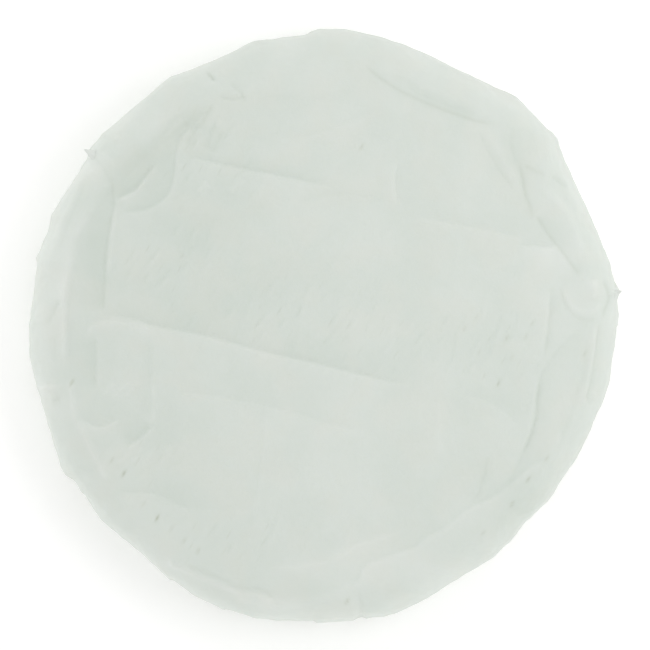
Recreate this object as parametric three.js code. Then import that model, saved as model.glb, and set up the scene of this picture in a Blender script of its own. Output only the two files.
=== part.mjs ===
// A soft-ripened cheese wheel, about 225 mm across and 30 mm thick, lying flat.
// Its white skin is pulled tight over a rounded rim, so the rim runs as short straight
// facets between small corners where the skin is gathered.
// Millimetres, +Z up. The origin is under the middle of the wheel, on its flat underside.

import * as THREE from "three";

// Driving dimensions
const wheelDiameter = 223; // twice the plain radius that the corners are measured from
const wheelHeight = 30; // from the underside to the highest ring of the face
const shoulderRound = 14; // rounding from the side wall up to the face
const heelRound = 8; // rounding from the underside out to the side wall
const wallSwell = 0.6; // how far the side wall bows out half-way up
const faceDish = 1.2; // how far the middle of the face lies below its edge
const faceEdgeFall = 0.5; // how far the face drops again where it meets the shoulder
const columns = 120; // the wheel is turned in this many steps of 3 degrees
const arcSteps = 6; // steps in each rounding
const faceRings = 4; // rings between the shoulder and the middle of the face
const gatherDepth = 3; // power at which the corners fade towards the middle

// Corners of the rim, anticlockwise from +X: bearing in degrees, and how far the corner
// stands out from the plain radius. The rim is straight from each corner to the next.
const corners = [
  [3, 0.1], [6, 1.8], [9, 0.1], [21, -2.4], [33, -1.0], [39, 1.5], [51, 1.6], [63, -1.6],
  [75, -0.2], [87, 1.0], [96, -0.6], [105, 0.0], [117, -1.6], [123, -0.4], [132, -0.8],
  [144, 1.2], [147, -1.1], [159, 0.7], [162, -0.2], [168, 1.1], [186, 1.5], [198, 0.6],
  [210, 2.4], [213, 0.8], [219, 1.4], [228, 0.2], [237, 1.4], [249, 2.6], [258, 3.0],
  [270, 0.9], [276, 1.3], [282, 1.7], [291, -1.1], [306, -2.2], [315, -4.3], [324, -3.1],
  [339, -2.8], [345, -1.5], [357, -1.0],
];

const wheelRadius = wheelDiameter / 2;

// Radius of the rim at a bearing: the straight line between the two corners around it,
// written in polar form.
function rimRadius(bearing) {
  const next = corners.findIndex(([at]) => at > bearing);
  const after = corners[next < 0 ? 0 : next];
  const before = corners.at(next < 0 ? -1 : next - 1);
  const rad = THREE.MathUtils.degToRad;
  const turned = (from, to) => rad(THREE.MathUtils.euclideanModulo(to - from, 360));
  const reachBefore = wheelRadius + before[1];
  const reachAfter = wheelRadius + after[1];
  const span = turned(before[0], after[0]);
  const gone = turned(before[0], bearing);
  const across = reachBefore * Math.sin(gone) + reachAfter * Math.sin(span - gone);
  return (reachBefore * reachAfter * Math.sin(span)) / across;
}

// Half section of the wheel from the middle of the underside, out round the heel, up the
// wall, over the shoulder and in to the middle of the face.
function halfSection() {
  const points = [new THREE.Vector2(0, 0)];
  const quarter = Math.PI / 2;
  for (let i = 0; i <= arcSteps; i++) {
    const angle = (quarter * i) / arcSteps;
    const inset = heelRound * (1 - Math.sin(angle));
    points.push(new THREE.Vector2(wheelRadius - inset, heelRound * (1 - Math.cos(angle))));
  }
  const wallMiddle = (heelRound + wheelHeight - shoulderRound) / 2;
  points.push(new THREE.Vector2(wheelRadius + wallSwell, wallMiddle));
  for (let i = 0; i <= arcSteps; i++) {
    const angle = (quarter * i) / arcSteps;
    const inset = shoulderRound * (1 - Math.cos(angle));
    const rise = (shoulderRound - faceEdgeFall) * Math.sin(angle);
    points.push(new THREE.Vector2(wheelRadius - inset, wheelHeight - shoulderRound + rise));
  }
  const faceRadius = wheelRadius - shoulderRound;
  for (let i = 1; i < faceRings; i++) {
    const share = 1 - i / faceRings;
    points.push(new THREE.Vector2(faceRadius * share, faceHeight(share)));
  }
  points.push(new THREE.Vector2(0, faceHeight(0)));
  return points;
}

// Height of the face at a share of its radius: full height three quarters of the way out,
// falling to the dish in the middle.
function faceHeight(share) {
  const crest = 1 - 1 / faceRings;
  const fromCrest = (crest - share) / crest;
  return wheelHeight - faceDish * fromCrest * fromCrest;
}

// Moves each point in or out so that the turned rim becomes the gathered one. The move
// fades towards the axis, where the skin lies flat.
function gather(geometry) {
  const place = geometry.getAttribute("position");
  for (let i = 0; i < place.count; i++) {
    const x = place.getX(i);
    const y = place.getY(i);
    const radius = Math.hypot(x, y);
    if (radius < 1e-6) continue;
    const turn = THREE.MathUtils.radToDeg(Math.atan2(y, x));
    const bearing = THREE.MathUtils.euclideanModulo(turn, 360);
    const fade = (radius / wheelRadius) ** gatherDepth;
    const scale = 1 + (fade * (rimRadius(bearing) - wheelRadius)) / radius;
    place.setXY(i, x * scale, y * scale);
  }
  geometry.computeVertexNormals();
}

function cheeseWheel() {
  const geometry = new THREE.LatheGeometry(halfSection(), columns);
  geometry.rotateX(Math.PI / 2);
  gather(geometry);
  geometry.computeBoundingBox();
  const middle = geometry.boundingBox.getCenter(new THREE.Vector3());
  geometry.translate(-middle.x, -middle.y, 0);
  const skin = new THREE.MeshStandardMaterial({ color: 0xd9dfd8, roughness: 0.62, metalness: 0 });
  const mesh = new THREE.Mesh(geometry, skin);
  mesh.name = "cheese_wheel";
  return mesh;
}

const wheel = new THREE.Group();
wheel.add(cheeseWheel());

export default wheel;
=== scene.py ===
"""A soft-ripened cheese wheel under its white skin of perforated cheese paper.

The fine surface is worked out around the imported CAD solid. Sizes in the shape functions
and their constants are millimetres; the mesh is in metres, in the frame of the CAD model.
"""

import math
from collections import namedtuple

import bpy
import numpy as np
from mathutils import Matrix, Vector


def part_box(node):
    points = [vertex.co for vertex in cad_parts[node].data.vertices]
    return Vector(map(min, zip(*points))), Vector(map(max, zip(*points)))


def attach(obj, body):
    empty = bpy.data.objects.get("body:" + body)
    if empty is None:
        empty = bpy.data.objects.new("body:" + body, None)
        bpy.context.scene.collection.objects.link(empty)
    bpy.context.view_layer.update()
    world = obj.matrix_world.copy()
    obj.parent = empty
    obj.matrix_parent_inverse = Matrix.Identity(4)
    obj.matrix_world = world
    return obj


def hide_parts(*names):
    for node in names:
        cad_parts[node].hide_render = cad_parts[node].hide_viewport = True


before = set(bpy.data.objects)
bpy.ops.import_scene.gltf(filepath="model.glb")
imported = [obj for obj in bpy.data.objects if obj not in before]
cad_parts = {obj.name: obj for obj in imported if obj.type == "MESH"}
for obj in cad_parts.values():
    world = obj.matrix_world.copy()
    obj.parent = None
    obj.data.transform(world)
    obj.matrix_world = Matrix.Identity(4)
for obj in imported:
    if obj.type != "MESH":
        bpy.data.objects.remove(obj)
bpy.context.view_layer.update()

bl_info = {
    "name": "Cheese wheel",
    "version": (1, 0, 0),
    "blender": (4, 5, 0),
    "location": "3D View > Sidebar > Cheese",
    "description": "Builds a paper-wrapped soft cheese wheel and the stage it lies on",
    "category": "Add Mesh",
}

MM = 0.001
WHEEL_NODE = "cheese_wheel"
NODE_LOW, NODE_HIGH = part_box(WHEEL_NODE)


def linear(hex_colour):
    """An sRGB hex colour as linear red, green and blue."""
    value = int(hex_colour.lstrip("#"), 16)
    parts = np.array([value >> 16 & 255, value >> 8 & 255, value & 255]) / 255
    low, high = parts / 12.92, ((parts + 0.055) / 1.055) ** 2.4
    return tuple(float(part) for part in np.where(parts <= 0.04045, low, high))


# ---- sizes and colours


class WheelSizes(bpy.types.PropertyGroup):
    """Sizes of the wheel's skin, in metres."""

    height: bpy.props.FloatProperty(
        name="Height", default=NODE_HIGH.z, unit="LENGTH",
        description="From the underside to the top of the face",
    )
    shoulder: bpy.props.FloatProperty(
        name="Shoulder", default=0.014, unit="LENGTH",
        description="Rounding from the side wall up to the face",
    )
    heel: bpy.props.FloatProperty(
        name="Heel", default=0.008, unit="LENGTH",
        description="Rounding from the underside out to the side wall",
    )
    dish: bpy.props.FloatProperty(
        name="Dish", default=0.0012, unit="LENGTH",
        description="How far the middle of the face lies below its edge",
    )
    prick_pitch: bpy.props.FloatProperty(
        name="Prick pitch", default=0.0067, unit="LENGTH",
        description="Distance between the pricks that let the cheese breathe",
    )


class WheelColours(bpy.types.PropertyGroup):
    """Colours of the skin and the floor, as linear values."""

    contact: bpy.props.FloatVectorProperty(
        name="Against the cheese", default=linear("#CED6CE"), size=3, subtype="COLOR",
        description="Paper that lies on the moist cheese and lets it show through",
    )
    lifted: bpy.props.FloatVectorProperty(
        name="Lifted", default=linear("#E0E4DF"), size=3, subtype="COLOR",
        description="Paper that stands off the cheese in a fold",
    )
    dry: bpy.props.FloatVectorProperty(
        name="Dry patches", default=linear("#DCD8CC"), size=3, subtype="COLOR",
        description="Tint of the patches where the sheet has dried",
    )
    # Colour mixed in as painted shade inside the pricks and along tight creases, olive where the
    # cheese shows through.
    shade: bpy.props.FloatVectorProperty(
        name="In a prick", default=linear("#9DA286"), size=3, subtype="COLOR",
        description="Inside of a prick or a tight crease",
    )
    floor: bpy.props.FloatVectorProperty(
        name="Floor", default=linear("#FCFCFB"), size=3, subtype="COLOR",
        description="Pale table top",
    )


# ---- the wheel's outline

# Corners of the rim, anticlockwise from +X: bearing in degrees, and how far the corner
# stands out from the plain radius in millimetres. The paper runs straight between them.
PLAIN_RADIUS = 111.5
CORNERS = [
    (2, 0.2), (4.8, 0.0), (6.4, 1.4), (7.6, 0.3), (13, -0.6), (23, -2.5), (33, -1.1),
    (39, 1.2), (44.5, 1.4), (50, 1.6), (62, -1.7), (74, -0.6), (79, 0.2), (86, 1.2),
    (91, 1.1), (94, -0.7), (104, -0.1), (115, -2.0), (118, -1.6), (122, -0.3), (132, -1.1),
    (139, -0.1), (143, 0.2), (145.5, -1.0), (151, -0.8), (158, 0.6), (163, -0.4),
    (167, 1.0), (180, 1.0), (187, 1.5), (191.5, 1.0), (199, 0.5), (208, 2.3), (210, 2.2),
    (212, 0.6), (221, 1.4), (229, 0.0), (238, 1.6), (244, 2.7), (250, 3.1), (256, 3.2),
    (261, 2.5), (269, 1.2), (275.5, 1.3), (277.2, 0.0), (278, 1.0), (281.5, 1.7),
    (286, 0.6), (291, -1.1), (297, -2.1), (306, -2.2), (311, -3.3), (315.7, -4.5),
    (317, -3.9), (322, -3.2), (331, -3.6), (339, -2.8), (345, -1.5), (349, -1.2),
    (355.4, -1.1),
]
GATHER_DEPTH = 3  # power at which the corners fade towards the middle


def rim_radius(bearing):
    """Radius of the rim at bearings in degrees: the straight line between the corners on
    each side, in polar form r1 r2 sin(span) / (r1 sin(gone) + r2 sin(span - gone))."""
    at = np.array([corner[0] for corner in CORNERS], float)
    reach = PLAIN_RADIUS + np.array([corner[1] for corner in CORNERS], float)
    following = np.searchsorted(at, bearing, side="right") % len(at)
    before = following - 1
    span = np.radians((at[following] - at[before]) % 360)
    gone = np.radians((bearing - at[before]) % 360)
    across = reach[before] * np.sin(gone) + reach[following] * np.sin(span - gone)
    return reach[before] * reach[following] * np.sin(span) / across


# ---- creases of the paper

# A crease runs through its points. It is rise high at its line, or deep where that is
# negative, and falls away over a width of its own on the left and on the right of its way.
# A step lifts its right side and sinks its left. shadowed, 0 to 1, is how dark the painted shade
# along its bottom is, and fade the share of its length over which each end comes up from nothing.
Crease = namedtuple(
    "Crease", "points rise step left right tight fade", defaults=(0.0, 0.0, 1.0, 1.0, 0.0, 0.2)
)
CREASE_REACH = 4  # widths from its line at which a crease has died away
CREASE_BLUNT = 0.35  # rounding of a crease at its line
STEP_SHARPNESS = 2  # how sharply a step turns over at its line, per millimetre
SHADE_LINE_WIDTH = 0.6  # half width of the line of painted shade along a crease's bottom and a pleat's foot

# On the face and the shoulder, seen from above: millimetres from the wheel's middle.
FACE_CREASES = [Crease(*row) for row in [
    # long pleat across the lower face: the sheet sinks above it and stands below it
    ([(-90, -0.7), (-88, 2.3), (-81, 3.3), (-72, 1.8), (-65, -0.5), (-55, -2.4), (-40, -5.7),
      (-21, -10.9), (-2, -15.2), (20, -20.7), (38, -24.2)], 0, 0.46, 9, 4.5, 0.03),
    ([(-91.5, -6), (-90, -1), (-84, 1.7), (-74, 0.8), (-64, -2.2)], 0.12, 0.26, 4, 3.5, 0, 0.15),
    # second long pleat and what carries it on
    ([(-54, 64.5), (-42, 61.5), (-25, 58), (-10, 55), (5, 52)], -0.1, 0.42, 2.5, 6),
    ([(-12, 45), (0, 48.8), (10, 49), (26, 46.5)], -0.18, 0.1, 2.5, 1.2),
    ([(27.6, 63), (26.2, 54), (27.6, 45)], 0.16, 0.3, 1.6, 1.6),
    ([(34, 41.5), (48, 38.5), (66, 35), (76, 32.5)], 0, 0.23, 5, 5),
    # upper right: dip behind the flat stretch of rim
    ([(14.3, 99.1), (19.3, 95.1), (28.3, 89.1), (38.3, 84.4), (48.3, 80.6), (57.3, 77.6),
      (65.3, 76.6)], -0.34, 0, 2.2, 0.8, 0.18, 0.1),
    ([(25, 93.5), (36, 88), (46, 84), (55, 80.8), (62, 79.4)], -0.5, 0, 3.8, 1.8, 0, 0.35),
    ([(23, 96), (30, 93.5), (37, 89)], -0.36, 0, 2.2, 2, 0.03, 0.4),
    ([(14, 101), (30, 94), (48, 87), (66, 80)], 0.22, 0, 3, 3),
    # right: groove behind the rim, its outer bank, crosswise folds
    ([(73, 80), (70.5, 70), (72.5, 61.5), (74.8, 55), (76, 47), (78, 40)], -0.42, 0, 2.6, 1.1,
      0.02, 0.3),
    ([(73, 63), (74.3, 57), (75.6, 50), (77.7, 44), (78.6, 40)], -0.24, 0.1, 1.2, 1, 0.15),
    ([(57.4, 75.2), (61.4, 67.2), (66.4, 58.7), (72.4, 50.2)], -0.34, 0, 1.3, 1.3, 0.03),
    ([(60, 76.5), (64.3, 69), (69.2, 60.5), (74, 53)], 0.3, 0, 1.2, 1.6),
    ([(80, 42), (84.5, 35), (90, 28), (97, 18.5)], -0.44, 0, 2.8, 0.7, 0.18, 0.1),
    ([(80, 53), (87, 48.5), (92, 42), (96, 33), (98, 26)], 0.42, 0, 1.3, 1.7),
    ([(73, 29.9), (80, 29.7), (88, 28.9)], 0.1, 0.35, 5, 3),
    ([(74.5, 60.5), (79, 58.6), (84, 56.2)], -0.3, 0.08, 0.9, 1, 0.1),
    ([(85.5, 56.5), (88.5, 54.6), (92.5, 51.5)], -0.42, 0.22, 0.8, 1.6, 0.1),
    # right: small pocket under the gathered tip
    ([(89.8, 16), (91, 10.5), (93.3, 6), (96.5, 3.4), (100.5, 2.3), (104, 3.2)], 0, -0.16, 2.4,
      1.2, 0.1),
    ([(91, 15), (92, 10), (94.6, 6.7), (98.4, 5), (102.2, 5.7), (104.6, 8.4)], 0.36),
    ([(101.8, 17.5), (102.5, 13), (102, 9.5)], 0.5, 0, 0.9),
    ([(98, 17.5), (101, 15.8), (104, 15)], 0.3, 0, 1, 1.4),
    ([(105.6, 18), (107.4, 14), (108.2, 10.4), (106.8, 6), (104.8, 1.5)], -0.42, 0, 0.8, 0.9,
      0.18),
    # right: upright double fold on the rim and its hook
    ([(103.4, 1), (102.8, -7.4), (101.5, -15), (100.4, -21), (99.2, -27.5), (100.4, -32)], 0.1,
      0.55, 1.2, 1.1, 0.12, 0.1),
    ([(99, -1), (99, -11), (97.7, -20.7), (96, -24.5), (94, -32), (91, -39.7), (88.2, -47.3),
      (84.4, -50.6)], -0.22, 0, 0.8, 0.8, 0.05),
    # right: groove between face and rim, down to the flap
    ([(85.2, 15), (84.8, 3), (83.6, -6), (82.7, -13)], 0, 0.36, 3.5, 3, 0.08),
    ([(99, -1.5), (94.8, -3.1), (90.1, -7.4), (85.3, -13.1), (81.5, -19.8), (79.8, -28.3),
      (78.2, -39.7), (74.9, -48.3), (70.1, -57.8), (66, -62)], -0.12, 0.2, 2, 1.8, 0.02, 0.1),
    ([(82, -19), (80.2, -27), (79.9, -34), (77.6, -41.6), (75.6, -46.4), (73, -51)], -0.14, 0.3,
      1.2, 1.6, 0.13),
    ([(62, -49), (60, -57), (57.5, -64.5), (54.5, -67.5)], -0.3, 0.1, 1.4, 1.4, 0.07),
    # lower right: edge of the overlapping flap
    ([(86, -50), (77.7, -54), (69.6, -61), (61.5, -66.7), (54, -69.9), (49, -74), (43.5, -78),
      (38.5, -80.5), (34.5, -84.1), (30, -85.7), (16, -90.9), (13.6, -94.5), (12, -97.5),
      (4.6, -101.5), (-5, -105), (-16.4, -106.2), (-28, -105.8)], 0.12, -0.3, 4.5, 1, 0, 0.06),
    ([(-25, -92.5), (-8, -91.4), (3, -88.6), (11.5, -84), (22.5, -80.5), (31, -77)], 0.45, 0.08,
      1.3, 2.4),
    # lower left: thin turned edge along the rim
    ([(-58.5, -86.5), (-58.2, -90.5), (-54, -92), (-47.7, -94.8), (-40, -97.8), (-33.4, -100.8),
      (-26, -101.8), (-18.2, -104.8)], 0.75, 0.3, 0.6, 1, 0.04, 0.08),
    ([(-53.5, -90.8), (-47.2, -93.6), (-39.6, -96.6), (-33, -99.6), (-25.6, -100.4),
      (-18.6, -103.4)], -0.3, 0, 0.6, 0.6, 0.05, 0.1),
    ([(13, -96.2), (4.6, -101), (-5, -104.2), (-16.4, -105.3), (-28, -104.9), (-37, -102.8)], 0.5,
      0, 0.8, 1.1, 0, 0.15),
    ([(-81.5, -64.5), (-73, -64), (-63, -65), (-50, -71.5)], 0, 0.25, 4, 4),
    ([(-80, -62.5), (-66, -66.5), (-50, -70), (-36, -70.5), (-24, -69)], 0, 0.08, 4, 6),
    ([(-97.1, -20), (-94.6, -36.5), (-92, -39.8), (-88, -49), (-82, -59.8)], 0.6, 0.06, 0.8, 0.8,
      0, 0.08),
    ([(-93.5, -35.8), (-89, -38.2), (-84.5, -38.8), (-78, -35.5)], 0.25, 0.4, 3, 2),
    # left: crest of the rim, long trough inside it, edge of the face
    ([(-84, 51.5), (-89.6, 41), (-95, 31.5), (-98.3, 15), (-98.9, 5)], 0.55, 0.3, 2.8, 3, 0, 0.25),
    ([(-97, 22), (-98.5, 12), (-98.9, 0), (-98.7, -18)], 0.35, 0.42, 0.8, 3, 0, 0.25),
    ([(-94, 33), (-98, 15), (-98.8, 0), (-98.5, -18)], 0.4, 0, 0.5, 0.6),
    ([(-81, 54), (-79.8, 46), (-80.7, 40.5), (-82.3, 31.5), (-83.4, 17), (-84, 4)], -0.5, -0.3,
      1.8, 6.5, 0.08, 0.1),
    ([(-79.4, 47), (-80.3, 38), (-81.6, 28), (-82.6, 17)], 0.5, 0, 0.8, 0.8),
    ([(-86.8, -3.5), (-86.8, -14), (-87, -25)], -0.2, -0.38, 1.6, 5.5),
    ([(-66.7, -3.5), (-66.6, -20), (-66, -37)], -0.32, 0, 1, 2.5),
    ([(-65, -38), (-70, -43), (-76, -47)], 0, -0.5, 2, 5),
    # upper left: the trough goes on under folds that fan from the tip
    ([(-79, 50.7), (-72.8, 58.8), (-64.8, 66.8), (-54.8, 74.8), (-42.8, 82.8)], -0.75, 0, 3.2, 4.5,
      0, 0.25),
    ([(-80, 46.2), (-77.9, 48.2), (-72.2, 51), (-68, 56.4), (-63.6, 62)], 0.15, 0.9, 4, 1.5),
    ([(-79, 42.9), (-70.5, 42.9), (-65, 44.9), (-59.2, 50), (-57.3, 57), (-56.6, 63), (-55.5, 69),
      (-51.5, 75), (-42.5, 82.5)], 0.08, 0.5, 2.2, 1.6, 0, 0.12),
    ([(-48, 73), (-45.5, 78), (-42, 84)], -0.46, 0.14, 1, 1.1, 0.09),
    ([(-45.5, 66), (-43, 71), (-39.8, 76.5)], -0.46, 0.12, 1, 1, 0.07),
    ([(-52.5, 68), (-50, 72), (-47.4, 76)], -0.4, 0.16, 0.9, 1, 0.06),
    ([(-42.5, 64.5), (-40.6, 69), (-38.6, 74)], -0.36, 0.1, 0.9, 0.9, 0.05),
    ([(-60.4, 70.5), (-57.4, 75), (-54, 79)], 0.42, 0, 0.7, 0.7),
    ([(-62.2, 71.4), (-59.2, 76), (-55.8, 80)], -0.3, 0, 0.9, 0.9),
    ([(-57.8, 68.6), (-54.6, 73.2), (-51.4, 77)], -0.3),
    ([(-73, 67.5), (-67, 73), (-58, 80), (-50, 86)], 0.3, 0, 2.2, 2.2),
    ([(-78, 70), (-70, 79), (-60, 88)], -0.25, 0, 2.4, 2.4),
    ([(-90, 65), (-86.5, 62.5), (-83, 58), (-81.5, 53)], -0.32, 0, 1.2, 1.4, 0.06),
    ([(-88.5, 67), (-83, 64.5), (-78.5, 60)], 0.2, 0.15, 1.5, 1.3),
    ([(-81.6, 57), (-80.6, 52.5), (-81.4, 48)], -0.4, 0, 1.3, 1.3, 0.12, 0.35),
    # left rim: soft folds running along it
    ([(-90, 57), (-94, 47.5), (-99, 35), (-101.5, 26)], -0.36, 0, 1.5, 1.5, 0.04),
    ([(-88.5, 63), (-97, 46), (-103.6, 30.5), (-106, 14)], 0.3, 0, 1.3, 1.6),
    ([(-96, 52), (-102, 40), (-105.5, 28)], -0.3, 0, 1.2, 1.2),
    ([(-105.8, -0.4), (-103.3, 4.4), (-100.3, 10.4)], -0.5, 0, 1.1, 1.1, 0.06),
    ([(-103, -3), (-102.5, -9), (-103, -15)], -0.3, 0, 1.2, 1.2),
    # top left: pinch
    ([(-45, 96.5), (-41.6, 92.5)], -0.66, 0, 0.5, 0.5, 0.22, 0.3),
    ([(-37, 91.5), (-32.2, 88.3), (-31, 84)], -0.34, 0.2, 1, 1, 0.02),
    ([(-41, 86.4), (-35, 85.4), (-29.5, 86.4)], -0.2, 0.35, 1, 1, 0.03),
    ([(-30, 91), (-27, 88), (-27.5, 83.5)], 0.25, 0, 0.9, 1.2, 0.04),
    # left rim: small tucks
    ([(-111, 0.5), (-107, 0.4)], -0.12, 0, 0.8, 0.8, 0.04),
    ([(-111, -24.4), (-106, -23.8), (-100, -23.8)], 0.9, 0, 0.8, 0.9),
    ([(-104, -29), (-100.5, -28)], -0.36, 0, 1.4, 1.4, 0.1),
    ([(-36.5, 49.6), (-30.9, 56)], 0.46, 0.1, 0.9),
    ([(-48.5, 50), (-44.6, 54.6)], 0.42, 0.1, 0.9),
    ([(-14, 70), (4, 75), (24, 84)], -0.1, 0.1, 2.5, 2.5),
    # lower left: short slanting wrinkles of the face
    ([(-85, -27), (-79.5, -21.5)], 0.22, 0.12, 0.9, 0.9),
    ([(-82, -28.5), (-74, -21)], 0.26, 0.12, 0.9, 0.9),
    ([(-77, -27.5), (-70.5, -21)], 0.2, 0.12, 0.9, 0.9),
    ([(-79, -54), (-75.5, -48), (-72.5, -43.5)], 0.26, 0.14),
    ([(-73.5, -53), (-69.5, -46.5)], 0.2, 0.14),
    ([(-68.5, -52), (-64.5, -46)], 0.2, 0.14),
    ([(-63, -52.5), (-58.5, -44.5)], 0.2, 0.14),
    # faint traces of the folded sheet
    ([(-63, -24.5), (-40, -27.5), (-17, -32), (2, -37.8), (21, -41.6)], 0, 0.15, 3, 7),
    ([(-23, -28), (-23.5, -47), (-28.5, -82)], 0.05, -0.14, 2, 2),
    ([(-65.2, -21), (-65.3, -30), (-65.5, -39)], 0.42, 0, 1.1, 1.2),
    ([(43.5, -26), (43, -38), (44, -52)], 0.25, 0, 1.5, 2),
    ([(52, -26), (63, -30), (74, -38)], 0, 0.15, 5, 5),
    ([(-33, 88), (-8, 86), (14, 88)], -0.25, 0, 4, 3),
]]

# Soft areas, seen from above: middle, half width and half height in millimetres, and an
# amount. First, where the paper is painted whiter or, below 0, greener: partly where the sheet
# stands clear of the cheese or lies wetter on it, partly painted light and shade, lighter on
# the left and upper left of the rim and darker along its bottom and lower right.
Zone = namedtuple("Zone", "x y wide tall amount")
LIFT_AND_LIGHT_ZONES = [Zone(*row) for row in [
    (-107, -6, 5, 26, 0.34), (-101, 36, 5, 16, 0.28), (-88, 61, 6, 6, 0.5), (91, -26, 8, 20, 0.2),
    (88, 26, 10, 5, 0.4), (97, 36, 6, 16, 0.08), (70, 92, 10, 8, 0.2), (-78, 80, 14, 7, 0.45),
    (68, -68, 8, 6, 0.15), (34, -93, 26, 8, 0.15), (-15, -50, 50, 26, 0.1), (-80, 58, 6, 9, -0.1),
    (-88, 36, 4, 12, -0.2), (-90, 10, 5, 24, -0.15), (0, -104, 45, 7, -0.15),
    (76, -72, 14, 14, -0.5), (99, -40, 6, 18, -0.2), (-70, 58, 7, 9, -0.1),
    (-48, 32, 34, 40, -0.4), (-52, -50, 30, 30, -0.28), (50, -40, 32, 30, -0.12),
    (-58, 66, 18, 14, -0.15),
]]
# Where the wrinkles between the pricks stand out.
WRINKLE_ZONES = [Zone(*row) for row in [
    (-62, 26, 18, 17, 0.85), (-12, 3, 32, 18, 0.75), (34, -8, 32, 16, 0.4), (68, -6, 16, 15, 0.6),
    (-50, 68, 14, 12, 1.5), (-70, -52, 16, 12, 0.7), (-35, -82, 30, 10, 0.8),
    (-30, 52, 18, 8, 0.5),
]]

# Pricks that have torn open: place in millimetres, and how wide open. Each is sunk a little and
# painted dark, the cheese seen through it with painted shade inside the hole.
OPEN_PRICKS = [
    (-96.2, -21.9, 0.8), (-81.0, -51.4, 0.4), (-76.5, -56.4, 0.9), (-63.8, -73.4, 1.0),
    (-58.3, -77.3, 0.35), (-53.6, -82.0, 0.45), (-48.2, -85.8, 0.5), (-69.0, -68.0, 0.25),
    (13.9, 67.7, 0.45), (78.7, 0.6, 0.3), (69.0, -5.0, 0.45), (71.0, -12.4, 0.25),
    (60.4, -19.3, 0.25), (65.9, -22.2, 0.55), (98.7, -11.0, 0.3), (8.4, -105.0, 0.6),
    (77.2, -58.6, 0.6), (71.0, -68.0, 0.6), (60.0, -79.0, 0.35), (84.3, -50.8, 0.4),
    (53.0, -1.5, 0.3), (76.3, -4.5, 0.3), (58.7, -10.3, 0.2),
]


def smooth_path(points, step=1.5):
    """Points about every step millimetres on the Catmull-Rom curve through the points."""
    knots = np.array([points[0], *points, points[-1]], float)
    knots[0] = 2 * knots[1] - knots[2]
    knots[-1] = 2 * knots[-2] - knots[-3]
    pieces = []
    for a, b, c, d in zip(knots, knots[1:], knots[2:], knots[3:]):
        count = max(2, int(np.hypot(*(c - b)) / step))
        t = np.linspace(0, 1, count, endpoint=False)[:, None]
        pieces.append(
            0.5 * (2 * b + (c - a) * t + (2 * a - 5 * b + 4 * c - d) * t**2
                   + (3 * b - a - 3 * c + d) * t**3)
        )
    return np.vstack([*pieces, knots[-2:-1]])


def across_path(x, y, path):
    """For each point the signed distance to the path, positive on its left, and the
    share of the path's length at its nearest point."""
    start, run = path[:-1], np.diff(path, axis=0)
    length = np.hypot(run[:, 0], run[:, 1])
    dx = x[:, None] - start[:, 0]
    dy = y[:, None] - start[:, 1]
    along = np.clip((dx * run[:, 0] + dy * run[:, 1]) / length**2, 0, 1)
    off_x = dx - along * run[:, 0]
    off_y = dy - along * run[:, 1]
    distance = np.hypot(off_x, off_y)
    nearest = distance.argmin(axis=1)
    rows = np.arange(len(x))
    side = np.sign(run[nearest, 0] * off_y[rows, nearest] - run[nearest, 1] * off_x[rows, nearest])
    reached = np.concatenate([[0], np.cumsum(length)])
    share = (reached[nearest] + along[rows, nearest] * length[nearest]) / reached[-1]
    return distance[rows, nearest] * side, share


def crease_height(x, y, creases):
    """Height of the creases, and the painted shade along their bottoms. The height is the sum of
    (rise - step * tanh(sharpness * d)) * exp(-(sqrt(d^2 + blunt^2) - blunt) / width), with
    d the distance to the line, positive on its left, and the width of the side the point
    lies on. The shade is shadowed * exp(-(d / shade line width)^2), moved one shade line
    width to the sunken side of a step. Both are multiplied by a smooth rise from each end."""
    height, shade_line = np.zeros_like(x), np.zeros_like(x)
    for crease in creases:
        path = smooth_path(crease.points)
        reach = CREASE_REACH * max(crease.left, crease.right)
        low, high = path.min(0) - reach, path.max(0) + reach
        near = np.flatnonzero((x > low[0]) & (x < high[0]) & (y > low[1]) & (y < high[1]))
        if not len(near):
            continue
        distance, share = across_path(x[near], y[near], path)
        width = np.where(distance > 0, crease.left, crease.right)
        fall = np.exp(-(np.sqrt(distance**2 + CREASE_BLUNT**2) - CREASE_BLUNT) / width)
        end = smooth_step(0, crease.fade, np.minimum(share, 1 - share))
        step = crease.step * np.tanh(STEP_SHARPNESS * distance)
        height[near] += (crease.rise - step) * fall * end
        # Painted shade: a dark line along the crease's bottom, carried in the paper's colour and
        # not in its height.
        bottom = SHADE_LINE_WIDTH * np.sign(crease.step)
        line = crease.tight * np.exp(-(((distance - bottom) / SHADE_LINE_WIDTH) ** 2)) * end
        shade_line[near] = np.maximum(shade_line[near], line)
    return height, shade_line


def zone_field(x, y, zones):
    """Sum of amount * exp(-(dx / wide)^2 - (dy / tall)^2) over the zones."""
    total = np.zeros_like(x)
    for zone in zones:
        dx, dy = (x - zone.x) / zone.wide, (y - zone.y) / zone.tall
        total += zone.amount * np.exp(-(dx**2) - dy**2)
    return total


def waves(x, y, shortest, longest, seed, count=40):
    """An even random field of about unit size: count cosines of random direction and
    phase, with wavelengths spread between shortest and longest."""
    draw = np.random.default_rng(seed)
    length = np.exp(draw.uniform(np.log(shortest), np.log(longest), count))
    turn = draw.uniform(0, 2 * np.pi, count)
    phase = draw.uniform(0, 2 * np.pi, count)
    total = np.zeros_like(x)
    for one, angle, start in zip(length, turn, phase):
        total += np.cos(2 * np.pi * (x * np.cos(angle) + y * np.sin(angle)) / one + start)
    return total * math.sqrt(2 / count)


def smooth_step(low, high, value):
    """0 below low, 1 above high, and 3t^2 - 2t^3 between."""
    t = np.clip((value - low) / (high - low), 0, 1)
    return t * t * (3 - 2 * t)


# ---- wrinkles at the pricks

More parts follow.
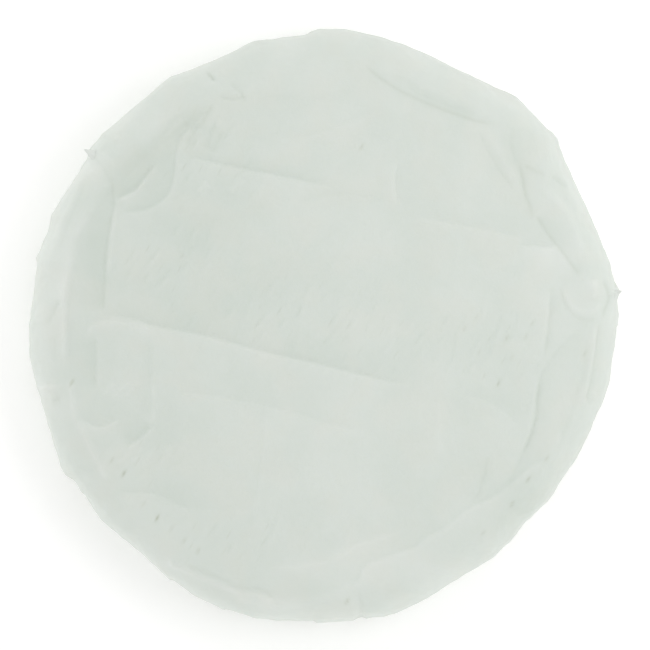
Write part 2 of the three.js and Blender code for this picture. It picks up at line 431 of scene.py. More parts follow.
ROW_SLOPE = -12.5  # degrees by which the rows of pricks fall to the right
SLIT_ANGLE = 60.0  # degrees from +X at which the pricks and their wrinkles run
PRICK_SCATTER = 0.5  # how far a prick strays from its place
WRINKLE_SEED = 5
WRINKLE_DEPTH = 0.33  # of the deepest wrinkle where its zone is 1
SHALLOWEST = 0.02  # wrinkles less deep than this are left out
WRINKLE_LENGTHS, WRINKLE_WIDTHS = (1.8, 4.4), (0.7, 1.15)
WRINKLE_REACH = 8  # distance at which a wrinkle has died away
WRINKLE_RADIUS = 96  # wrinkles start only inside this radius
WRINKLE_TURN = 7  # degrees by which a wrinkle's way strays from the slit angle
LOWER_LEFT_TURN = 18  # degrees by which the wrinkles at the lower left lie flatter
LIP_PLACE, LIP_WIDTH, LIP_SHARE = 1.2, 0.8, 0.7  # the lip beside a wrinkle


def prick_places(pitch, draw):
    """Places of the pricks: a square grid, pitch apart and turned by the slope of its
    rows, with each prick a little off its place."""
    count = int(2 * PLAIN_RADIUS / pitch)
    steps = (np.arange(count) - count / 2) * pitch
    along_row, across_row = np.meshgrid(steps, steps)
    slope = math.radians(ROW_SLOPE)
    x = (along_row * math.cos(slope) - across_row * math.sin(slope)).ravel()
    y = (along_row * math.sin(slope) + across_row * math.cos(slope)).ravel()
    x = x + draw.normal(0, PRICK_SCATTER, len(x))
    y = y + draw.normal(0, PRICK_SCATTER, len(y))
    return x, y


def wrinkle_height(x, y, pitch):
    """Fine slanting wrinkles that start at some of the pricks. Each one is
    depth * exp(-(along / long)^2) * (share * lip - exp(-(across / wide)^2)), where the lip
    is exp(-((across + lip place) / lip width)^2), and its depth follows the wrinkle
    zones."""
    draw = np.random.default_rng(WRINKLE_SEED)
    place_x, place_y = prick_places(pitch, draw)
    number = len(place_x)
    zone = zone_field(place_x, place_y, WRINKLE_ZONES)
    depth = WRINKLE_DEPTH * zone * draw.uniform(0.1, 1, number) ** 1.3
    flatter = LOWER_LEFT_TURN * (place_y < -45) * (place_x < -40)
    turn = np.radians(SLIT_ANGLE + draw.normal(0, WRINKLE_TURN, number) - flatter)
    long = draw.uniform(*WRINKLE_LENGTHS, number)
    wide = draw.uniform(*WRINKLE_WIDTHS, number)
    height = np.zeros_like(x)
    kept = (depth > SHALLOWEST) & (np.hypot(place_x, place_y) < WRINKLE_RADIUS)
    for i in np.flatnonzero(kept):
        away = np.maximum(np.abs(x - place_x[i]), np.abs(y - place_y[i]))
        near = np.flatnonzero(away < WRINKLE_REACH)
        dx, dy = x[near] - place_x[i], y[near] - place_y[i]
        along = dx * math.cos(turn[i]) + dy * math.sin(turn[i])
        across = dy * math.cos(turn[i]) - dx * math.sin(turn[i])
        body = np.exp(-((along / long[i]) ** 2))
        slit = np.exp(-((across / wide[i]) ** 2))
        lip = np.exp(-(((across + LIP_PLACE) / LIP_WIDTH) ** 2))
        height[near] += depth[i] * body * (LIP_SHARE * lip - slit)
    return height


PRICK_LENGTH, PRICK_WIDTH = 1.4, 0.5  # half length and half width of an open prick


def open_pricks(x, y):
    """How much each point lies in an open prick: the most, over the open pricks, of
    wide_open * exp(-(along / length)^2 - (over / width)^2)."""
    slit = math.radians(SLIT_ANGLE)
    inside = np.zeros_like(x)
    for prick_x, prick_y, wide_open in OPEN_PRICKS:
        dx, dy = x - prick_x, y - prick_y
        along = dx * math.cos(slit) + dy * math.sin(slit)
        over = dx * math.sin(slit) - dy * math.cos(slit)
        mark = wide_open * np.exp(-((along / PRICK_LENGTH) ** 2) - (over / PRICK_WIDTH) ** 2)
        inside = np.maximum(inside, mark)
    return inside


# ---- pleats of the rim

PLEAT_SEED = 12
FINE_PLEATS = 84
GATHERED_CORNER = 0.55  # a corner that stands out further than this holds a large pleat
PLEAT_REACH = 5  # widths from its line at which a pleat has died away
PLEAT_BLUNT = 0.245  # rounding of a pleat's crest
SHARP_SIDES = (0.35, 0.6)  # how wide the steep side of a pleat is
SLANT_SPREAD, SLANT_FROM = 0.3, 14  # a pleat slants about this distance over the rim
BEND_SPREAD, BEND_FROM = 0.008, 22  # and bends about this one
FOOT_SHARE = 1.6  # darkness of the painted shade at a pleat's foot for each millimetre of its rise

# A pleat's rise, the width of its flat side, where over the rim it starts, and the length
# over which it grows.
PleatKind = namedtuple("PleatKind", "rise wide top growth")
CORNER_PLEAT = PleatKind((0.7, 1.2), (3.5, 7.0), (19, 25), 12)
FINE_PLEAT = PleatKind((0.2, 0.8), (1.4, 3.2), (23, 32), 8)


def wrapped(distance):
    """A distance round the rim, brought into half a turn each way."""
    turn = 2 * math.pi * PLAIN_RADIUS
    return (distance + turn / 2) % turn - turn / 2


def pleat_height(around, down):
    """Height of the gathered pleats, and the painted shade at their feet, at a distance around
    the rim and down over it. Each pleat is a slanting, bent lip, rise * exp(-d / wide) on one
    side and rise * exp(-d / sharp) on the other, that grows smoothly from its top towards the
    heel. The foot of its steep side gets painted shade, by exp(-((d + 1) / shade line
    width)^2). Large pleats start at the corners of the rim and fine ones lie between them."""
    draw = np.random.default_rng(PLEAT_SEED)
    height, shade_line = np.zeros_like(around), np.zeros_like(around)
    turn = 2 * math.pi * PLAIN_RADIUS
    corners = [math.radians(at) * PLAIN_RADIUS for at, out in CORNERS if out > GATHERED_CORNER]
    scatter = draw.uniform(-0.45, 0.45, FINE_PLEATS)
    between = (np.arange(FINE_PLEATS) + scatter) * turn / FINE_PLEATS
    pleats = [(place, CORNER_PLEAT) for place in corners]
    pleats += [(place, FINE_PLEAT) for place in between]
    for place, kind in pleats:
        rise = draw.uniform(*kind.rise)
        wide = draw.uniform(*kind.wide)
        sharp = draw.uniform(*SHARP_SIDES)
        slant = draw.normal(0, SLANT_SPREAD)
        bend = draw.normal(0, BEND_SPREAD)
        flip = draw.choice([-1, 1])
        top = draw.uniform(*kind.top)
        line = place + slant * (down - SLANT_FROM) + bend * (down - BEND_FROM) ** 2
        distance = wrapped(around - line) * flip
        near = np.flatnonzero(np.abs(distance) < PLEAT_REACH * wide)
        side = distance[near]
        width = np.where(side > 0, wide, sharp)
        body = np.exp(-(np.sqrt(side**2 + PLEAT_BLUNT**2) - PLEAT_BLUNT) / width)
        grown = smooth_step(top, top + kind.growth, down[near])
        height[near] += rise * body * grown
        # Painted shade at the foot of the pleat's steep side.
        foot = np.exp(-(((side + 1) / SHADE_LINE_WIDTH) ** 2)) * min(1.0, FOOT_SHARE * rise)
        shade_line[near] = np.maximum(shade_line[near], foot * grown)
    return height, shade_line


# ---- the wheel's mesh

FACE_RINGS = 142
SHOULDER_RINGS = 24
WALL_RINGS = 8
HEEL_RINGS = 8
UNDER_RINGS = 5
UNDER_SPACING = 1.15  # power that sets the underside's rings closer at its edge
FACE_CREST = 0.75  # share of its radius at which the face is highest
FACE_EDGE_FALL = 0.5  # how far the face drops from there to the shoulder
WALL_SWELL = 0.6  # how far the side wall bows out half-way up


def split_quads(a, b, c, d):
    """Triangles of quads whose corners, in turn, are a, c, d and b."""
    return np.vstack([np.stack([a, c, d], axis=1), np.stack([a, d, b], axis=1)])


def ring_places(rings):
    """The ring, from 1, and the place in it of each point of rings of 6k points."""
    counts = 6 * np.arange(1, rings + 1)
    ring = np.repeat(np.arange(1, rings + 1), counts)
    return ring, np.concatenate([np.arange(count) for count in counts])


def disc_faces(rings):
    """Triangles of a disc whose middle is point 0 and whose k-th ring holds 6k points,
    numbered outwards: in each of six sectors a ring of outer triangles standing on the
    ring, and one of inner triangles hanging from the ring inside it."""
    ring, place = ring_places(rings)
    sector, step = place // ring, place % ring
    first = 1 + 3 * ring * (ring - 1)
    inner_first = np.where(ring > 1, 1 + 3 * (ring - 1) * (ring - 2), 0)
    inner_count = np.maximum(6 * (ring - 1), 1)
    inner = inner_first + (sector * (ring - 1) + step) % inner_count
    outer_next = first + (place + 1) % (6 * ring)
    standing = np.stack([inner, first + place, outer_next], axis=1)
    inner_next = inner_first + (sector * (ring - 1) + step + 1) % inner_count
    hanging = np.stack([inner, outer_next, inner_next], axis=1)[step < ring - 1]
    return np.vstack([standing, hanging])


def band_faces(first, rows, columns):
    """Triangles of rows of quads round the wheel, from the ring that starts at first."""
    row, column = np.divmod(np.arange(rows * columns), columns)
    a = first + row * columns + column
    b = first + row * columns + (column + 1) % columns
    return split_quads(a, b, a + columns, b + columns)


def face_grid(sizes):
    """The face as rings of 6k points round a middle point. It is highest at its crest,
    sinks by the square of the way in to the dish, and falls smoothly out to its edge."""
    ring, place = (np.concatenate([[0], part]) for part in ring_places(FACE_RINGS))
    share = ring / FACE_RINGS
    edge = PLAIN_RADIUS - sizes.shoulder / MM
    fall = FACE_EDGE_FALL * smooth_step(FACE_CREST, 1, share)
    sink = sizes.dish / MM * (1 - np.minimum(share / FACE_CREST, 1)) ** 2
    return {
        "bearing": 360 * place / np.maximum(6 * ring, 1),
        "radius": edge * share,
        "height": sizes.height / MM - fall - sink,
        "outward": np.zeros(len(ring)),
        "upward": np.ones(len(ring)),
        "down": edge * (share - 1),
    }


def rim_profile(sizes):
    """The section from the edge of the face over the rim and in under the wheel, as rows
    of radius, height, outward, upward and down, and the whole way down: a quarter ellipse
    for the shoulder, a shallow arc for the wall, a quarter circle and the flat underside."""
    height, shoulder, heel = sizes.height / MM, sizes.shoulder / MM, sizes.heel / MM
    angle = np.linspace(0, np.pi / 2, SHOULDER_RINGS + 1)[1:]
    out, up = np.sin(angle), np.cos(angle)
    drop = (shoulder - FACE_EDGE_FALL) * (1 - up)
    radius = PLAIN_RADIUS - shoulder + shoulder * out
    parts = [(radius, height - FACE_EDGE_FALL - drop, out, up, shoulder * angle)]

    down, wall = shoulder * np.pi / 2, height - shoulder - heel
    part = np.linspace(0, 1, WALL_RINGS + 1)[1:]
    radius = PLAIN_RADIUS + WALL_SWELL * np.sin(np.pi * part)
    parts += [(radius, heel + wall * (1 - part), part**0, 0 * part, down + wall * part)]

    down += wall
    angle = np.linspace(0, np.pi / 2, HEEL_RINGS + 1)[1:]
    out, up = np.cos(angle), -np.sin(angle)
    radius = PLAIN_RADIUS - heel * (1 - out)
    parts += [(radius, heel * (1 + up), out, up, down + heel * angle)]

    down += heel * np.pi / 2
    flat = PLAIN_RADIUS - heel
    part = (np.arange(1, UNDER_RINGS + 1) / (UNDER_RINGS + 1)) ** UNDER_SPACING
    parts += [(flat * (1 - part), 0 * part, 0 * part, -(part**0), down + flat * part)]
    return np.hstack(parts), down + flat


def wheel_grid(sizes):
    """Points of the smooth wheel: bearing in degrees, radius and height in millimetres,
    the outward normal's radial and upward parts, and the distance down from the edge of
    the face over the rim. The last point is the middle of the underside."""
    face = face_grid(sizes)
    profile, farthest = rim_profile(sizes)
    columns, rows = 6 * FACE_RINGS, profile.shape[1]
    names = ("radius", "height", "outward", "upward", "down")
    rim = {name: np.repeat(values, columns) for name, values in zip(names, profile)}
    rim["bearing"] = np.tile(360 * np.arange(columns) / columns, rows)
    last = {"bearing": 0, "radius": 0, "height": 0, "outward": 0, "upward": -1, "down": farthest}
    grid = {name: np.concatenate([face[name], rim[name], [last[name]]]) for name in face}
    return grid, rows, columns


def wheel_faces(rim_rows, columns):
    """All the triangles: the disc of the face, the bands over the rim and under the
    wheel, and the fan that closes the underside."""
    disc_points = 1 + 3 * FACE_RINGS * (FACE_RINGS + 1)
    first = disc_points - columns
    fan_ring = first + rim_rows * columns
    centre = fan_ring + columns
    column = np.arange(columns)
    after = (column + 1) % columns
    fan = np.stack([fan_ring + column, np.full(columns, centre), fan_ring + after], axis=1)
    return np.vstack([disc_faces(FACE_RINGS), band_faces(first, rim_rows, columns), fan])


# How far the paper stands off the cheese, 0 to 1, with painted light and shade on top: on a
# plain place, and what the rim, each millimetre of a crease or a wrinkle, and a zone add.
# Raised folds and wrinkle lips are painted lighter, and dips darker.
PLAIN_STAND, RIM_STAND, CREASE_LIFT_AND_LIGHT, WRINKLE_LIFT_AND_LIGHT, ZONE_LIFT_AND_LIGHT = 0.38, 0.06, 0.43, 0.8, 0.6
PRICK_DEPTH = 0.3  # how deep an open prick is
HEEL_GUARD = 7  # distance before the heel's end from which nothing sinks
PLEAT_END = 0.45  # pleats this high or higher touch the table under the wheel
UNDER_GAP = 0.6  # how far off it the sheet stands for each millimetre below that


def soft_height(x, y, around, down, on_rim):
    """A soft unevenness of long and short waves: what it adds on the face and on the rim."""
    face = 0.14 * waves(x, y, 14, 60, 3) + 0.04 * waves(x, y, 5, 14, 4)
    rim = 0.14 * waves(around, down * 1.4, 12, 50, 5) + 0.07 * waves(around, down, 4, 12, 6)
    return face * (1 - on_rim), rim * on_rim


def creased_wheel(sizes):
    """Points of the creased wheel in metres, its triangles, and its attributes, 0 to 1 at
    each point. Each point of the smooth wheel is moved along its normal by the height of
    the creases and wrinkles seen from above, of the pleats over the rim, and of a soft
    unevenness."""
    grid, rows, columns = wheel_grid(sizes)
    radius, down, upward = grid["radius"], grid["down"], grid["upward"]
    drawn_out = rim_radius(grid["bearing"]) - PLAIN_RADIUS
    gathered = radius + (radius / PLAIN_RADIUS) ** GATHER_DEPTH * drawn_out
    turn = np.radians(grid["bearing"])
    x, y = gathered * np.cos(turn), gathered * np.sin(turn)
    around = turn * PLAIN_RADIUS
    rounds = sizes.shoulder + sizes.heel
    heel_end = (rounds * np.pi / 2 + sizes.height - rounds) / MM
    from_above = smooth_step(0.1, 0.4, upward)
    on_rim = smooth_step(2, 16, down)
    under = smooth_step(heel_end - 2, heel_end + 3, down)

    creases, tight = crease_height(x, y, FACE_CREASES)
    creases, tight = creases * from_above, tight * from_above
    wrinkles = wrinkle_height(x, y, sizes.prick_pitch / MM) * from_above
    pleats, foot = pleat_height(around, down)
    foot *= 1 - smooth_step(heel_end, heel_end + 30, down)
    face_soft, rim_soft = soft_height(x, y, around, down, on_rim)
    prick = open_pricks(x, y) * (upward > 0.1)

    lift = creases + wrinkles + face_soft + (rim_soft + pleats) * (1 - under)
    # Nothing sinks below the table. Under the wheel the sheet rests on the pleats' ends
    # and stands off the table a little between them.
    up = lift * upward
    up = np.where(down > heel_end - HEEL_GUARD, np.maximum(up, 0), up)
    up += under * UNDER_GAP * np.maximum(PLEAT_END - pleats, 0) - PRICK_DEPTH * prick
    out = lift * grid["outward"]
    place = np.stack([x + out * np.cos(turn), y + out * np.sin(turn), grid["height"] + up], axis=1)

    # Paper colour from how far the sheet stands off the cheese, with painted light and shade on
    # top: raised creases, pleats and wrinkle lips painted lighter, their dips darker, and the
    # zones' painted light and shade on the rim.
    stands = PLAIN_STAND + RIM_STAND * on_rim + WRINKLE_LIFT_AND_LIGHT * wrinkles
    stands += CREASE_LIFT_AND_LIGHT * (creases + pleats * on_rim * (1 - under))
    stands += ZONE_LIFT_AND_LIGHT * zone_field(x, y, LIFT_AND_LIGHT_ZONES) * from_above
    # The third mark is painted shade along the bottoms of tight creases and at the feet of the
    # pleats.
    marks = {
        "lift_and_light": np.clip(stands, 0, 1),
        "crease_shade": np.clip(np.maximum(tight, foot), 0, 1),
        "open_prick": prick,
        "wrinkled": np.clip(zone_field(x, y, WRINKLE_ZONES), 0, 1) * from_above,
    }
    return place * MM, wheel_faces(rows, columns), marks


# ---- folded tips

# Corners of the sheet that stick out past the rim: where each starts, the way it points
# seen from above, its length, half width and rise, all in millimetres.
Tip = namedtuple("Tip", "name root points_to length half_width rise")
TIPS = [
    Tip("left_tip", (-86.6, 64.0, 23.0), (-0.87, 0.5), 6.0, 2.4, 1.4),
    Tip("right_tip", (108.4, 11.4, 21.4), (0.96, 0.3), 5.0, 2.2, 1.6),
]
TIP_ROWS, TIP_COLUMNS = 16, 13
TIP_THICKNESS = 0.35
TIP_FOLD = 0.9  # height of the fold along a tip's middle, at its root


def folded_tip(tip):
    """Points and triangles of one folded tip, in metres: a pointed strip, folded along
    its middle, doubled to a thickness and sealed round its edge. With u from its root
    nearly to its point and v from side to side, a point lies
    length * (u + 0.06 sin(3 v)) out, half_width * (1 - u)^0.8 * v across, and
    rise * u^2 + fold * (1 - |v|) (1 - u) up."""
    u, v = np.meshgrid(
        np.linspace(0, 0.97, TIP_ROWS), np.linspace(-1, 1, TIP_COLUMNS), indexing="ij"
    )
    out = np.array([*tip.points_to, 0.0])
    out /= np.linalg.norm(out)
    across = np.array([-out[1], out[0], 0.0])
    reach = tip.length * (u + 0.06 * np.sin(3 * v))
    sway = tip.half_width * (1 - u) ** 0.8 * v
    height = tip.rise * u**2 + TIP_FOLD * (1 - np.abs(v)) * (1 - u)
    top = np.array(tip.root) + reach[..., None] * out + sway[..., None] * across
    top[..., 2] += height
    bottom = top - np.array([0, 0, TIP_THICKNESS])
    index = np.arange(TIP_ROWS * TIP_COLUMNS).reshape(TIP_ROWS, TIP_COLUMNS)
    corners = (index[:-1, :-1], index[:-1, 1:], index[1:, :-1], index[1:, 1:])
    upper = split_quads(*[corner.ravel() for corner in corners])
    lower = upper[:, ::-1] + index.size
    edge = np.concatenate([index[:-1, 0], index[-1, :-1], index[:0:-1, -1], index[0, :0:-1]])
    after = np.roll(edge, -1)
    side = split_quads(edge, after, edge + index.size, after + index.size)
    points = np.vstack([top.reshape(-1, 3), bottom.reshape(-1, 3)]) * MM
    return points, np.vstack([upper, lower, side])


def mesh_object(name, points, faces, attributes=None):
    """A smooth-shaded mesh object of triangles, with a float attribute on its points for
    each entry of attributes."""
    mesh = bpy.data.meshes.new(name)
    mesh.vertices.add(len(points))
    mesh.vertices.foreach_set("co", np.asarray(points, np.float32).ravel())
    mesh.loops.add(faces.size)
    mesh.loops.foreach_set("vertex_index", faces.astype(np.int32).ravel())
    mesh.polygons.add(len(faces))
    mesh.polygons.foreach_set("loop_start", np.arange(0, faces.size, 3, dtype=np.int32))
    mesh.update(calc_edges=True)
    mesh.polygons.foreach_set("use_smooth", np.ones(len(faces), bool))
    for key, values in (attributes or {}).items():
        layer = mesh.attributes.new(key, "FLOAT", "POINT")
        layer.data.foreach_set("value", values.astype(np.float32))
    if mesh.validate():
        raise RuntimeError(f"{name}: its faces are not a clean mesh")
    obj = bpy.data.objects.new(name, mesh)
    bpy.context.scene.collection.objects.link(obj)
    return obj


# ---- materials


def add_node(tree, kind, inputs=None, **settings):
    """A node of that kind with its settings made. inputs gives, by name or number, the
    socket that each of its inputs is linked to or the value that it is set to."""
    node = tree.nodes.new(kind)
    for key, value in settings.items():
        setattr(node, key, value)
    for key, value in (inputs or {}).items():
        if isinstance(value, bpy.types.NodeSocket):
            tree.links.new(value, node.inputs[key])
        else:
            node.inputs[key].default_value = value
    return node


def new_material(name):
    """An empty node material, its Principled shader linked to the output."""
    material = bpy.data.materials.new(name)
    material.use_nodes = True
    tree = material.node_tree
    tree.nodes.clear()
    shader = tree.nodes.new("ShaderNodeBsdfPrincipled")
    output = tree.nodes.new("ShaderNodeOutputMaterial")
    tree.links.new(shader.outputs["BSDF"], output.inputs["Surface"])
    return material, tree, shader


def multiplied(tree, factors):
    """The product of sockets and numbers, the first of them a socket."""
    result = factors[0]
    for factor in factors[1:]:
        node = add_node(tree, "ShaderNodeMath", {0: result, 1: factor}, operation="MULTIPLY")
        result = node.outputs[0]
    return result


def falloff(tree, amount, width):
    """exp(-(amount / width)^2) of a socket."""
    share = add_node(tree, "ShaderNodeMath", {0: amount, 1: width}, operation="DIVIDE").outputs[0]
    power = multiplied(tree, [share, share, -1.0])
    return add_node(tree, "ShaderNodeMath", {0: power}, operation="EXPONENT").outputs[0]


# Of the prick pattern, in pitches: half length and half width of a slit, and how far its
# places stray from the rows, 0 to 1.
SLIT_LENGTH, SLIT_WIDTH, SLIT_SCATTER = 0.24, 0.05, 0.3


def prick_pattern(tree, spot, pitch):
    """The sheet's fine slit pricks, in sloping rows pitch apart, as a socket from 0 to 1.
    A real prick is a 0.3 mm hole with a short slit; here it is drawn 0.7 mm wide so that it
    shows. A cell texture gives each one's place, and its own colour how far it gapes. They
    gape further where the paper is wrinkled."""
    rows = add_node(
        tree, "ShaderNodeMapping",
        {"Vector": spot, "Rotation": (0, 0, math.radians(-ROW_SLOPE)), "Scale": [1 / pitch] * 3},
        vector_type="POINT",
    ).outputs["Vector"]
    cells = add_node(
        tree, "ShaderNodeTexVoronoi", {"Vector": rows, "Scale": 1.0, "Randomness": SLIT_SCATTER},
        voronoi_dimensions="2D",
    )
    gap = add_node(
        tree, "ShaderNodeVectorMath", {0: rows, 1: cells.outputs["Position"]},
        operation="SUBTRACT",
    ).outputs[0]
    turn = math.radians(SLIT_ANGLE - ROW_SLOPE)
    ways = ((math.cos(turn), math.sin(turn), 0), (-math.sin(turn), math.cos(turn), 0))
    parts = []
    for way, width in zip(ways, (SLIT_LENGTH, SLIT_WIDTH)):
        part = add_node(tree, "ShaderNodeVectorMath", {0: gap, 1: way}, operation="DOT_PRODUCT")
        parts.append(falloff(tree, part.outputs["Value"], width))
    own = add_node(tree, "ShaderNodeSeparateColor", {"Color": cells.outputs["Color"]})
    zone = add_node(tree, "ShaderNodeAttribute", attribute_name="wrinkled")
    for share, low, high, least in (
        (own.outputs["Red"], 0.25, 1.0, 0.05), (zone.outputs["Fac"], 0.05, 0.9, 0.1),
    ):
        part = add_node(
            tree, "ShaderNodeMapRange", {0: share, 1: low, 2: high, 3: least, 4: 1.0},
            interpolation_type="SMOOTHSTEP",
        )
        parts.append(part.outputs["Result"])
    return multiplied(tree, parts)


# Noise patterns of the sheet: scale for each metre, detail and roughness.
SHEET_PATTERNS = {
    "damp": (40.0, 3.0, 0.55),  # damp patches under the sheet, 25 mm across
    "dry": (85.0, 1.0, 0.4),  # dry patches of the sheet, 12 mm across, a little warmer
    "fibre": (1600.0, 3.0, 0.6),  # real fibres are 0.02 mm wide, drawn 0.5 mm to show
    "crumple": (330.0, 2.0, 0.5),  # small crumples from being handled, 3 mm across
}


def cheese_paper(name, colours, sizes, depth):
    """Two-ply cheese paper: a thin white cellulose sheet backed with perforated film.
    It is soft and nearly matt, a little translucent, greyer green where it lies on the
    moist cheese and whiter where a fold holds it off. Over that it carries painted light and
    shade: lighter on raised folds, darker in dips, tight creases and pricks. depth is how much
    light goes in."""
    material, tree, shader = new_material(name)
    spot = add_node(tree, "ShaderNodeTexCoord").outputs["Object"]
    mark = {
        key: add_node(tree, "ShaderNodeAttribute", attribute_name=key).outputs["Fac"]
        for key in ("lift_and_light", "crease_shade", "open_prick")
    }
    noise = {}
    for key, (scale, detail, rough) in SHEET_PATTERNS.items():
        values = {"Vector": spot, "Scale": scale, "Detail": detail, "Roughness": rough}
        noise[key] = add_node(tree, "ShaderNodeTexNoise", values).outputs["Fac"]
    fine = prick_pattern(tree, spot, sizes.prick_pitch)

    damp, dry = (
        add_node(
            tree, "ShaderNodeMapRange", {0: noise[key], 1: low, 2: high, 3: least, 4: most},
            interpolation_type="SMOOTHSTEP",
        ).outputs["Result"]
        for key, low, high, least, most in (
            ("damp", 0.35, 0.65, -0.08, 0.09), ("dry", 0.42, 0.66, 0.0, 0.09),
        )
    )
    # Share of the whiter colour: paper standing off the cheese and damp patches, with the painted
    # light and shade of the folds and zones.
    lifted = add_node(
        tree, "ShaderNodeMath", {0: mark["lift_and_light"], 1: damp}, operation="ADD", use_clamp=True
    )
    base = (*colours.contact, 1)
    for share, colour in (
        (lifted.outputs[0], colours.lifted),
        (dry, colours.dry),
        # Painted shade in the fine slits, where the cheese also shows through.
        (multiplied(tree, [fine, 0.13]), colours.shade),
        # Painted shade along the creases' bottoms and the pleats' feet.
        (multiplied(tree, [mark["crease_shade"], 0.5]), colours.shade),
        # Painted shade inside the open pricks, with the cheese seen through them.
        (multiplied(tree, [mark["open_prick"], 0.5]), colours.shade),
    ):
        mix = add_node(
            tree, "ShaderNodeMix", {0: share, 6: base, 7: (*colour, 1)}, data_type="RGBA"
        )
        base = mix.outputs[2]
    tree.links.new(base, shader.inputs["Base Color"])

    fibres = add_node(
        tree, "ShaderNodeBump", {"Height": noise["fibre"], "Strength": 0.12, "Distance": 0.00025}
    )
    crumples = add_node(
        tree, "ShaderNodeBump",
        {"Height": noise["crumple"], "Strength": 0.25, "Distance": 0.0007,
         "Normal": fibres.outputs["Normal"]},
    )
    slits = add_node(
        tree, "ShaderNodeBump",
        {"Height": fine, "Strength": 0.3, "Distance": 0.0003, "Normal": crumples.outputs["Normal"]},
        invert=True,
    )
    tree.links.new(slits.outputs["Normal"], shader.inputs["Normal"])
    shader.inputs["Roughness"].default_value = 0.58
    shader.inputs["IOR"].default_value = 1.47
    shader.inputs["Specular IOR Level"].default_value = 0.35
    shader.inputs["Sheen Weight"].default_value = 0.05
    shader.inputs["Subsurface Weight"].default_value = depth
    shader.inputs["Subsurface Radius"].default_value = (1.0, 1.0, 0.9)
    shader.inputs["Subsurface Scale"].default_value = 0.0008
    return material


def table_acrylic(colours):
    """Opal acrylic table top, lit a little from below: satin, even and pale, with soft
    light shadows."""
    material, tree, shader = new_material("table_acrylic")
    spot = add_node(tree, "ShaderNodeTexCoord").outputs["Object"]
    # A faint mottle of the sheet, 330 mm across.
    mottle = add_node(tree, "ShaderNodeTexNoise", {"Vector": spot, "Scale": 3.0, "Detail": 2.0})
    pale, dull = (*colours.floor, 1), (*[FLOOR_MOTTLE * part for part in colours.floor], 1)
    base = add_node(
        tree, "ShaderNodeMix", {0: mottle.outputs["Fac"], 6: pale, 7: dull}, data_type="RGBA"
    )
    tree.links.new(base.outputs[2], shader.inputs["Base Color"])
    shader.inputs["Roughness"].default_value = 0.6
    shader.inputs["IOR"].default_value = 1.49
    shader.inputs["Specular IOR Level"].default_value = 0.2
    shader.inputs["Emission Color"].default_value = pale
    shader.inputs["Emission Strength"].default_value = FLOOR_GLOW
    return material


# ---- operators

# How much light goes into the paper that clings to the cheese, and into the free tips.
CLINGING_DEPTH, FREE_DEPTH = 0.25, 0.0


class CHEESE_OT_wheel(bpy.types.Operator):
    """Build the creased wheel around the CAD solid"""

    bl_idname = "cheese.wheel"
    bl_label = "Cheese wheel"

    def execute(self, context):
        sizes, colours = context.scene.cheese_sizes, context.scene.cheese_colours
        points, faces, marks = creased_wheel(sizes)
        wheel = mesh_object("wrapped_wheel", points, faces, marks)
        paper = cheese_paper("cheese_paper", colours, sizes, CLINGING_DEPTH)
        wheel.data.materials.append(paper)
        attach(wheel, "root")
        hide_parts(WHEEL_NODE)
        return {"FINISHED"}


class CHEESE_OT_tips(bpy.types.Operator):
    """Add the folded corners of the sheet that stick out past the rim"""

    bl_idname = "cheese.tips"
    bl_label = "Folded tips"

    def execute(self, context):
        sizes, colours = context.scene.cheese_sizes, context.scene.cheese_colours
        paper = cheese_paper("free_paper", colours, sizes, FREE_DEPTH)
        for tip in TIPS:
            points, faces = folded_tip(tip)
            marks = {"lift_and_light": np.ones(len(points))}
            piece = mesh_object(tip.name, points, faces, marks)
            piece.data.materials.append(paper)
            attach(piece, "root")
        return {"FINISHED"}


FLOOR_SIZE = 12.0  # metres
FLOOR_GLOW = 0.12  # strength of the light that comes up through the table top
FLOOR_MOTTLE = 0.985  # brightness of its darkest places beside its lightest
CAMERA_LENS, SENSOR = 350.0, 36.0  # millimetres
FRAME_SHARE = 592 / 650  # share of the frame's width that the wheel fills

# Soft boxes aimed at the wheel: place and size in metres, power in watts.
Lamp = namedtuple("Lamp", "name place size power")
LAMPS = [
    Lamp("left_softbox", (-0.62, 0.15, 0.2), (0.5, 0.3), 0.88),
    Lamp("right_softbox", (0.5, 0.05, 0.5), (0.6, 0.5), 1.5),
    Lamp("top_softbox", (0.0, 0.55, 0.5), (0.8, 0.5), 1.0),
    Lamp("low_softbox", (-0.1, -0.65, 0.24), (0.8, 0.4), 1.05),
]
SKY_STRENGTH = 0.64


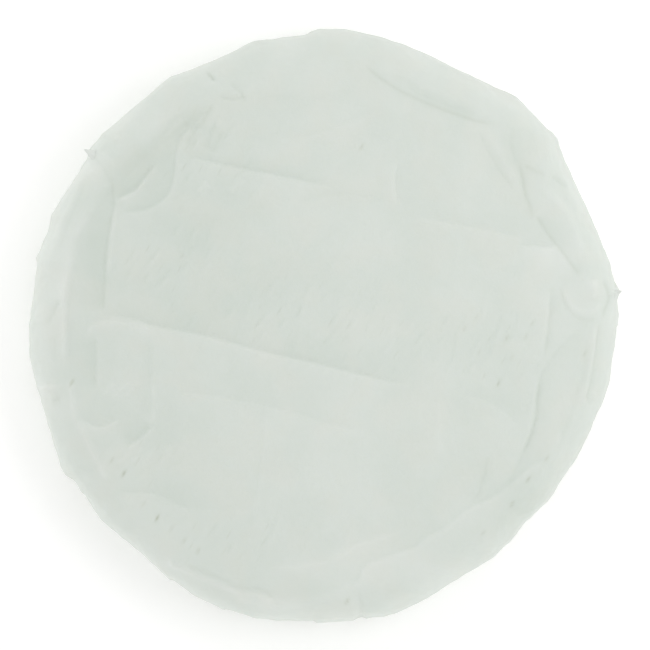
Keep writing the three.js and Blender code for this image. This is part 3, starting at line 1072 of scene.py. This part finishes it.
class CHEESE_OT_stage(bpy.types.Operator):
    """Add the pale table, the soft lights and the camera"""

    bl_idname = "cheese.stage"
    bl_label = "Stage"

    def execute(self, context):
        scene, colours = context.scene, context.scene.cheese_colours
        half = FLOOR_SIZE / 2
        corners = np.array([(-half, -half, 0), (half, -half, 0), (half, half, 0), (-half, half, 0)])
        floor = mesh_object("table_top", corners, np.array([(0, 1, 2), (0, 2, 3)]))
        floor.data.materials.append(table_acrylic(colours))

        middle = (NODE_LOW + NODE_HIGH) / 2
        for lamp in LAMPS:
            data = bpy.data.lights.new(lamp.name, "AREA")
            data.shape = "RECTANGLE"
            data.size, data.size_y = lamp.size
            data.energy = lamp.power
            light = bpy.data.objects.new(lamp.name, data)
            light.location = lamp.place
            aim = middle - Vector(lamp.place)
            light.rotation_euler = aim.to_track_quat("-Z", "Y").to_euler()
            scene.collection.objects.link(light)

        world = bpy.data.worlds.new("studio_tent")
        world.use_nodes = True
        sky = world.node_tree.nodes["Background"]
        sky.inputs["Color"].default_value = (1, 1, 1, 1)
        sky.inputs["Strength"].default_value = SKY_STRENGTH
        scene.world = world

        camera_data = bpy.data.cameras.new("camera")
        camera_data.sensor_width = SENSOR
        width = NODE_HIGH.x - NODE_LOW.x
        camera_data.lens = CAMERA_LENS
        distance = width / FRAME_SHARE / SENSOR * CAMERA_LENS
        camera = bpy.data.objects.new("camera", camera_data)
        camera.location = (middle.x, middle.y, NODE_HIGH.z / 2 + distance)
        scene.collection.objects.link(camera)
        scene.camera = camera
        scene.view_settings.view_transform = "Standard"
        return {"FINISHED"}


class CHEESE_PT_panel(bpy.types.Panel):
    """Cheese wheel tools"""

    bl_idname = "CHEESE_PT_panel"
    bl_label = "Cheese wheel"
    bl_space_type = "VIEW_3D"
    bl_region_type = "UI"
    bl_category = "Cheese"

    def draw(self, context):
        layout, scene = self.layout, context.scene
        for group in (scene.cheese_sizes, scene.cheese_colours):
            for name in group.__annotations__:
                layout.prop(group, name)
        layout.operator(CHEESE_OT_wheel.bl_idname)
        layout.operator(CHEESE_OT_tips.bl_idname)
        layout.operator(CHEESE_OT_stage.bl_idname)


CLASSES = (
    WheelSizes, WheelColours, CHEESE_OT_wheel, CHEESE_OT_tips, CHEESE_OT_stage, CHEESE_PT_panel,
)


def register():
    for cls in CLASSES:
        bpy.utils.register_class(cls)
    bpy.types.Scene.cheese_sizes = bpy.props.PointerProperty(type=WheelSizes)
    bpy.types.Scene.cheese_colours = bpy.props.PointerProperty(type=WheelColours)


def unregister():
    del bpy.types.Scene.cheese_colours
    del bpy.types.Scene.cheese_sizes
    for cls in reversed(CLASSES):
        bpy.utils.unregister_class(cls)


def main():
    register()
    bpy.ops.cheese.wheel()
    bpy.ops.cheese.tips()
    bpy.ops.cheese.stage()


if __name__ == "__main__":
    main()
